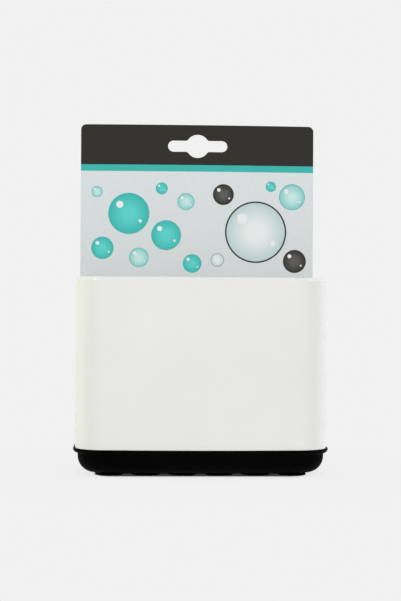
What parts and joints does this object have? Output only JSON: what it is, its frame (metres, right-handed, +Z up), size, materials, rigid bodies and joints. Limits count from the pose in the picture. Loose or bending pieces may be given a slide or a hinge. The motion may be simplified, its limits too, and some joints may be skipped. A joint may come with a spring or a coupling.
{
  "type": "kitchen sink caddy",
  "caption": "Open rounded-rectangle sink caddy: a white sleeve lifts out of a black drip tray that holds to the counter by suction cups; a hang card stands inside.",
  "frame": {"origin": "on the counter, under the middle of the tray, in the plane of the suction cups' lips", "axes": "+Z up; +X along the caddy's length to the right; -Y is the front"},
  "size_m": [0.1354, 0.0582, 0.186],
  "materials": {
    "sleeve_white": "glossy warm white moulding",
    "tray_black": "satin black moulding",
    "cup_black": "soft black elastomer",
    "card_print": "coated printed board"
  },
  "bodies": {
    "cups": {"suction_cup_front_1": "cup_black", "suction_cup_front_2": "cup_black", "suction_cup_front_3": "cup_black", "suction_cup_front_4": "cup_black", "suction_cup_front_5": "cup_black", "suction_cup_front_6": "cup_black", "suction_cup_rear_1": "cup_black", "suction_cup_rear_2": "cup_black", "suction_cup_rear_3": "cup_black", "suction_cup_rear_4": "cup_black", "suction_cup_rear_5": "cup_black", "suction_cup_rear_6": "cup_black"},
    "tray": {"base_tray": "tray_black"},
    "sleeve": {"sleeve": "sleeve_white"},
    "card": {"hang_card": "card_print"}
  },
  "joints": [
    {"name": "press_down", "type": "slide", "parent": "cups", "child": "tray", "axis": [0, 0, -1], "range_m": [0, 0.001], "stiffness_N_per_m": 2000, "springref_m": -0.0006, "deforming": ["suction_cup_front_1", "suction_cup_front_2", "suction_cup_front_3", "suction_cup_front_4", "suction_cup_front_5", "suction_cup_front_6", "suction_cup_rear_1", "suction_cup_rear_2", "suction_cup_rear_3", "suction_cup_rear_4", "suction_cup_rear_5", "suction_cup_rear_6"]},
    {"name": "sleeve_lift", "type": "slide", "parent": "tray", "child": "sleeve", "axis": [0, 0, 1], "range_m": [0, 0.18]},
    {"name": "card_lift", "type": "slide", "parent": "tray", "child": "card", "axis": [0, 0, 1], "range_m": [0, 0.105]}
  ]
}
